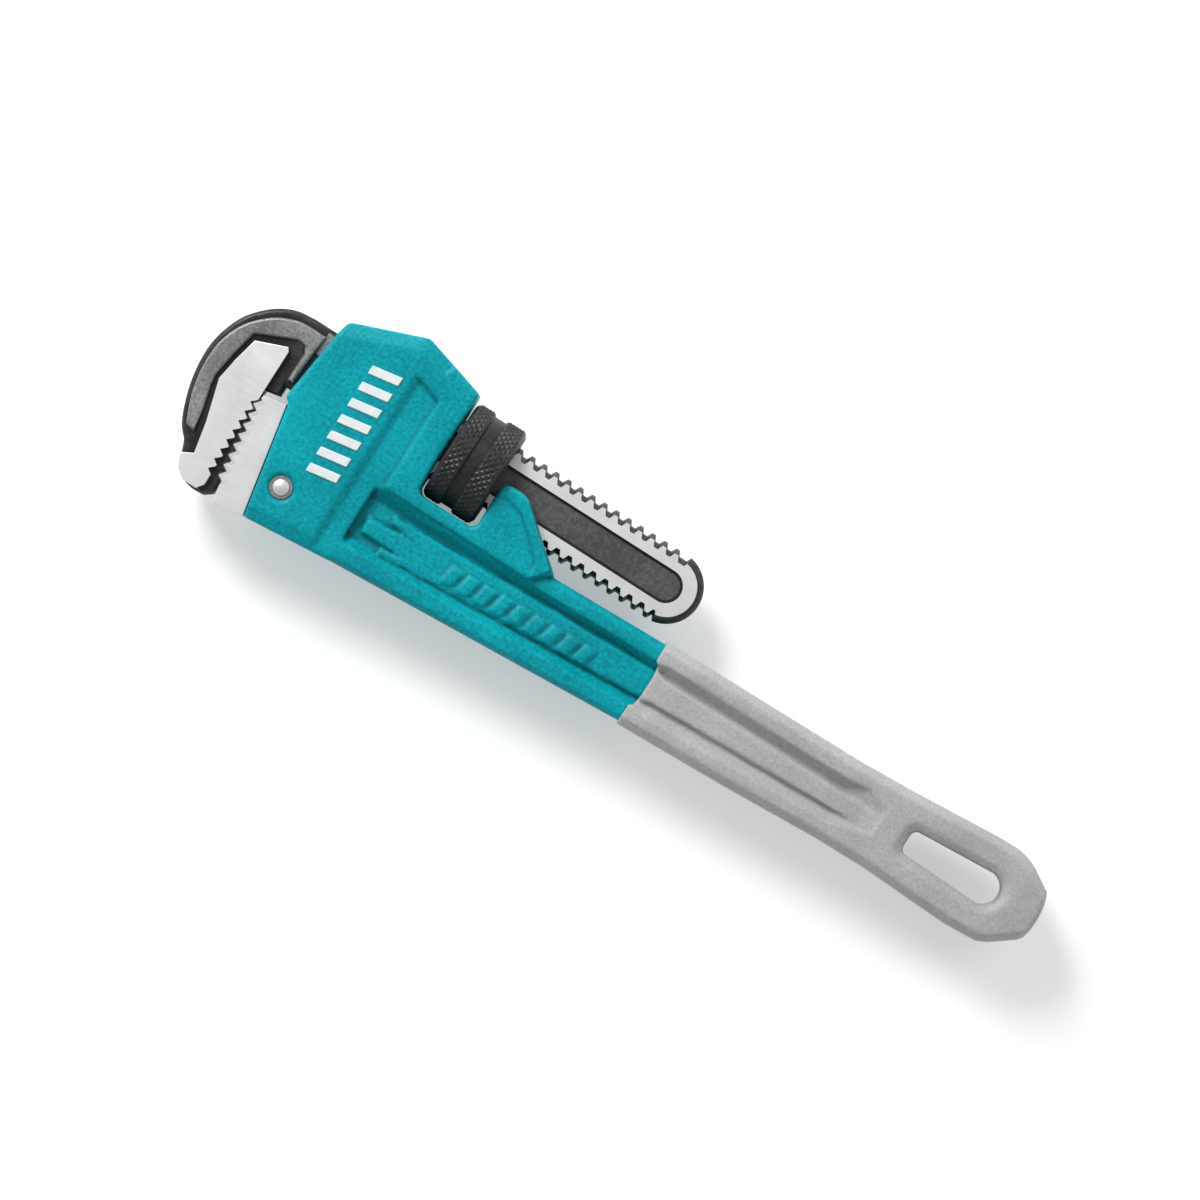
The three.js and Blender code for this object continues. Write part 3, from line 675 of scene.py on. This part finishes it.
RING_END = -57.95  # along x, where the raised ring stops and the plain web runs on
HEAD_MOUTH = -53.0  # along x, inside the head, where the web turns into the ground shank
WEB_GREY = 2.2  # along y, above which the web is left grey
RING_CHAMFER = 0.85
TEETH_BELOW = -16.0  # along y
TEETH_AFTER = -68.0  # along x
RECESS_HALF = 6.0  # the shank's sunk middle lies within this of y = 0
RECESS_BORDER = 0.9  # width of its black edge

COLLAR_FOOT, COLLAR_TOP = 3.9, 3.45  # radii of the collar round each end of the pin
COLLAR_DEPTH = 0.8
COLLAR_SUNK = 0.85  # the collar's middle under the head's face


def build_hook():
    """The forged hook jaw: black with a grey ring, and bright where it is ground."""
    bm = merged_copy("hook_jaw")
    names = ["black steel", "forged grey", "ground steel", "forged recess"]
    black, grey, ground, recess = range(len(names))
    for x in (RING_END, HEAD_MOUTH):
        score(bm, at(x, 0), (1, 0, 0))
    score(bm, at(0, WEB_GREY), (0, 1, 0))

    def choose(centre, normal):
        height = abs(centre.z)
        flat = abs(normal.z) > 0.9
        if centre.x < HEAD_MOUTH:
            if RING_END < centre.x and flat:
                return grey if centre.y > WEB_GREY else black
            if height > RING_FACE + 0.05:
                return ground
            if height > RING_FACE - RING_CHAMFER and abs(normal.z) > 0.6:
                return grey
            in_teeth = centre.y < TEETH_BELOW and centre.x > TEETH_AFTER and height > SHANK_FACE + 0.05
            return ground if in_teeth else black
        if flat and height > SHANK_FACE - 0.1:
            return ground
        return recess if flat and abs(centre.y) < RECESS_HALF else black

    sort_faces(bm, choose)
    floors = [face for face in bm.faces if face.material_index == recess]
    bmesh.ops.inset_region(bm, faces=floors, thickness=RECESS_BORDER * MM, depth=0.0, use_even_offset=True)
    for face in bm.faces:
        if face.material_index == recess and face not in floors:
            face.material_index = black
    made = piece_from(bm, "hook_jaw_finished", "hook", names)
    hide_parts("hook_jaw")
    crisp(made)


def build_heel():
    """The ground heel jaw, the riveted pin that holds it and the sunk collar round the pin's ends, whose dark
    finish is also painted shade for the countersink round the pin.
    """
    heel = piece_from(merged_copy("heel_jaw"), "heel_jaw_finished", "handle", ["ground steel"])
    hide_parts("heel_jaw")
    crisp(heel)
    bm = merged_copy("heel_jaw_pin")
    pin = piece_from(bm, "heel_jaw_pin_finished", "handle", ["rivet steel"])
    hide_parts("heel_jaw_pin")
    crisp(pin, 40.0)
    # A rivet's spread collar, whose dark grey also stands in as painted shade in the countersink round the
    # pin.
    collar_and_shade = bmesh.new()
    centre = (middle("heel_jaw_pin") - NUT_CENTRE) / MM
    for side in (1, -1):
        bmesh.ops.create_cone(
            collar_and_shade,
            cap_ends=True,
            segments=48,
            radius1=COLLAR_FOOT * MM,
            radius2=COLLAR_TOP * MM,
            depth=COLLAR_DEPTH * MM,
            matrix=Matrix.Translation(at(centre.x, centre.y, (HEAD_FACE - COLLAR_SUNK) * side))
            @ Matrix.Rotation(0.0 if side > 0 else math.pi, 4, "X"),
        )
    crisp(piece_from(collar_and_shade, "heel_jaw_pin_collar_and_shade", "handle", ["forged grey"]), 30.0)


# ---------------------------------------------------------------- nut and springs

KNURL_BANDS = ((-8.0, -2.6), (1.5, 8.0))  # along x, either side of the smooth groove
KNURL_ROUND = 44  # points round the nut
KNURL_SUNK = 0.12  # how far a point's foot lies under the nut's surface
KNURL_TIP = 0.09  # radius of a point's flat tip, against 0.5 at its foot


def build_nut():
    """The adjusting nut, and the points of its knurl in staggered rows."""
    bm = merged_copy("adjusting_nut", 0.2)
    nut = piece_from(bm, "adjusting_nut_finished", "nut", ["nut steel"])
    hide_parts("adjusting_nut")
    crisp(nut, 35.0)
    across = 2 * math.pi * NUT_RADIUS / KNURL_ROUND
    along = across * 0.95
    knurl = bmesh.new()
    for start, end in KNURL_BANDS:
        rows = round((end - start) / (along / 2)) - 1
        step = (end - start) / (rows + 1)
        for row in range(rows):
            x = start + step * (row + 1)
            for place in range(KNURL_ROUND):
                turn = 2 * math.pi * (place + 0.5 * (row % 2)) / KNURL_ROUND
                scale = (step * 2 * MM, across * MM, sizes().knurl_height + KNURL_SUNK * MM, 1.0)
                point = bmesh.ops.create_cone(
                    knurl,
                    segments=4,
                    cap_ends=False,
                    radius1=0.5,
                    radius2=KNURL_TIP,
                    depth=1.0,
                    matrix=Matrix.Translation(NUT_CENTRE)
                    @ Matrix.Rotation(turn, 4, "X")
                    @ Matrix.Translation(Vector((x, NUT_RADIUS - KNURL_SUNK, 0)) * MM)
                    @ Matrix.Rotation(math.radians(-90), 4, "X")
                    @ Matrix.Diagonal(Vector(scale))
                    @ Matrix.Translation((0, 0, 0.5)),
                )
                outwards = sorted(point["verts"], key=lambda vert: -(vert.co - NUT_CENTRE).yz.length)
                bmesh.ops.contextual_create(knurl, geom=outwards[:4])
    piece_from(knurl, "nut_knurl", "nut", ["nut steel"], smooth=False)


def build_springs():
    """The leaf spring, the stud riveted to it and the coil spring over the stud."""
    for cad_node, name, body in (
        ("leaf_spring", "leaf_spring_finished", "rocker"),
        ("spring_stud", "spring_stud_finished", "rocker"),
        ("coil_spring", "coil_spring_finished", "handle"),
    ):
        made = piece_from(merged_copy(cad_node, 0.2), name, body, ["spring steel"])
        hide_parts(cad_node)
        crisp(made)


# ---------------------------------------------------------------- raised marks

MARK_BARS = 7
MARK_LOW, MARK_HIGH = -29.0, 11.2  # the bars' reach along y
MARK_LEFT, MARK_RIGHT = -41.4, -31.6  # and along x
MARK_SLOPE = 1.6
MARK_ROOT = 1.5  # how deep a bar starts below the head's face


def build_marks():
    """Plain slanted bars on both sides of the head, in place of any lettering."""
    height = sizes().mark_height / MM
    bm = bmesh.new()
    pitch = (MARK_HIGH - MARK_LOW) / MARK_BARS
    thick = pitch * 0.5
    for side in (1, -1):
        for i in range(MARK_BARS):
            left = MARK_LOW + pitch * i
            right = left + MARK_SLOPE
            corners = [
                (MARK_LEFT, left),
                (MARK_RIGHT, right),
                (MARK_RIGHT, right + thick),
                (MARK_LEFT, left + thick),
            ]
            raised_bar(bm, corners, (HEAD_FACE - MARK_ROOT) * side, (HEAD_FACE + height) * side, 0.3)
    bmesh.ops.recalc_face_normals(bm, faces=bm.faces)
    piece_from(bm, "raised_mark", "handle", ["mark paint"], smooth=False)


# ---------------------------------------------------------------- stage

ROLL = math.radians(32.6)  # how far the shank runs down to the right in the view
VIEW_WIDTH = 361.2  # millimetres across the square view
VIEW_CENTRE = (53.7, -14.2)
LENS = 180.0
SENSOR = 36.0
FLOOR_HALF = 6.0  # metres, as are the lights' places and sizes
WORLD_STRENGTH = 0.42
FLOOR_GLOW = 0.3
SOFTBOXES = (  # name, place, size and power in watts
    ("Softbox Left", (-0.95, 0.62, 0.85), (0.6, 0.6), 19.0),
    ("Softbox Right", (0.7, 0.9, 0.9), (0.7, 0.7), 3.0),
)
WHITE = (1.0, 1.0, 1.0, 1.0)


def soft_light(name, place, size, power):
    """A softbox that faces the middle of the view."""
    light = bpy.data.lights.new(name, "AREA")
    light.shape = "RECTANGLE"
    light.size, light.size_y = size
    light.energy = power
    made = bpy.data.objects.new(name, light)
    bpy.context.scene.collection.objects.link(made)
    made.location = place
    made.rotation_euler = (at(*VIEW_CENTRE) - Vector(place)).to_track_quat("-Z", "Y").to_euler()


def lay_floor():
    """A plain floor, on which the wrench lies with the points of its knurl."""
    bm = bmesh.new()
    resting = Matrix.Translation((0, 0, -sizes().knurl_height))
    bmesh.ops.create_grid(bm, x_segments=2, y_segments=2, size=FLOOR_HALF, matrix=resting)
    mesh = bpy.data.meshes.new("studio floor")
    bm.to_mesh(mesh)
    bm.free()
    made, tree, shader = blank("Studio Floor", Roughness=0.9, Emission_Strength=FLOOR_GLOW)
    shader.inputs["Emission Color"].default_value = WHITE
    paper = place_group(tree, "Shop Soil", Size=3.0)
    tone = tuple(colours().floor)
    tree.links.new(mix(tree, paper.outputs["Mask"], tone, shaded(tone, 0.995)), shader.inputs["Base Color"])
    mesh.materials.append(made)
    floor = bpy.data.objects.new("studio floor", mesh)
    bpy.context.scene.collection.objects.link(floor)


def build_stage():
    """The floor, an even sky, the softboxes and a long lens that looks straight down."""
    scene = bpy.context.scene
    lay_floor()
    world = bpy.data.worlds.new("Studio Light")
    world.use_nodes = True
    sky = world.node_tree.nodes["Background"]
    sky.inputs["Color"].default_value = WHITE
    sky.inputs["Strength"].default_value = WORLD_STRENGTH
    scene.world = world
    for softbox in SOFTBOXES:
        soft_light(*softbox)

    camera = bpy.data.cameras.new("Camera")
    camera.lens = LENS
    camera.sensor_width = SENSOR
    distance = VIEW_WIDTH * MM * LENS / SENSOR
    made = bpy.data.objects.new("Camera", camera)
    scene.collection.objects.link(made)
    made.location = at(*VIEW_CENTRE) + Vector((0, 0, distance))
    made.rotation_euler = (0.0, 0.0, ROLL)
    camera.clip_end = 20.0
    scene.camera = made
    scene.view_settings.view_transform = "Standard"


# ---------------------------------------------------------------- operators and panel


class WRENCH_OT_casting(bpy.types.Operator):
    """Finish the cast head and handle in enamel"""

    bl_idname = "wrench.casting"
    bl_label = "Head and Handle Casting"

    def execute(self, context):
        build_casting()
        return {"FINISHED"}


class WRENCH_OT_grip(bpy.types.Operator):
    """Finish the dipped coat on the handle"""

    bl_idname = "wrench.grip"
    bl_label = "Grip Coat"

    def execute(self, context):
        build_grip()
        return {"FINISHED"}


class WRENCH_OT_hook(bpy.types.Operator):
    """Finish the hook jaw and its threaded shank"""

    bl_idname = "wrench.hook"
    bl_label = "Hook Jaw"

    def execute(self, context):
        build_hook()
        return {"FINISHED"}


class WRENCH_OT_heel(bpy.types.Operator):
    """Finish the heel jaw and the pin that holds it"""

    bl_idname = "wrench.heel"
    bl_label = "Heel Jaw and Pin"

    def execute(self, context):
        build_heel()
        return {"FINISHED"}


class WRENCH_OT_nut(bpy.types.Operator):
    """Finish the adjusting nut and cut its knurl"""

    bl_idname = "wrench.nut"
    bl_label = "Adjusting Nut"

    def execute(self, context):
        build_nut()
        return {"FINISHED"}


class WRENCH_OT_springs(bpy.types.Operator):
    """Finish the leaf spring, its stud and the coil spring"""

    bl_idname = "wrench.springs"
    bl_label = "Springs"

    def execute(self, context):
        build_springs()
        return {"FINISHED"}


class WRENCH_OT_marks(bpy.types.Operator):
    """Raise the plain bars on both sides of the head"""

    bl_idname = "wrench.marks"
    bl_label = "Raised Marks"

    def execute(self, context):
        build_marks()
        return {"FINISHED"}


class WRENCH_OT_stage(bpy.types.Operator):
    """Lay the floor, hang the soft lights and set the camera"""

    bl_idname = "wrench.stage"
    bl_label = "Stage"

    def execute(self, context):
        build_stage()
        return {"FINISHED"}


OPERATORS = (
    WRENCH_OT_casting,
    WRENCH_OT_grip,
    WRENCH_OT_hook,
    WRENCH_OT_heel,
    WRENCH_OT_nut,
    WRENCH_OT_springs,
    WRENCH_OT_marks,
    WRENCH_OT_stage,
)


class WRENCH_PT_panel(bpy.types.Panel):
    """The wrench's settings and pieces"""

    bl_idname = "WRENCH_PT_panel"
    bl_label = "Pipe Wrench"
    bl_space_type = "VIEW_3D"
    bl_region_type = "UI"
    bl_category = "Wrench"

    def draw(self, context):
        for settings in (context.scene.wrench_sizes, context.scene.wrench_colours):
            column = self.layout.column(align=True)
            for key in settings.__annotations__:
                column.prop(settings, key)
        column = self.layout.column(align=True)
        for operator in OPERATORS:
            column.operator(operator.bl_idname)


CLASSES = (WrenchSizes, WrenchColours, *OPERATORS, WRENCH_PT_panel)


def register():
    for cls in CLASSES:
        bpy.utils.register_class(cls)
    bpy.types.Scene.wrench_sizes = bpy.props.PointerProperty(type=WrenchSizes)
    bpy.types.Scene.wrench_colours = bpy.props.PointerProperty(type=WrenchColours)


def unregister():
    del bpy.types.Scene.wrench_colours
    del bpy.types.Scene.wrench_sizes
    for cls in reversed(CLASSES):
        bpy.utils.unregister_class(cls)


def main():
    """Builds every piece and the stage."""
    register()
    for operator in OPERATORS:
        name = operator.bl_idname.removeprefix("wrench.")
        getattr(bpy.ops.wrench, name)()


if __name__ == "__main__":
    main()
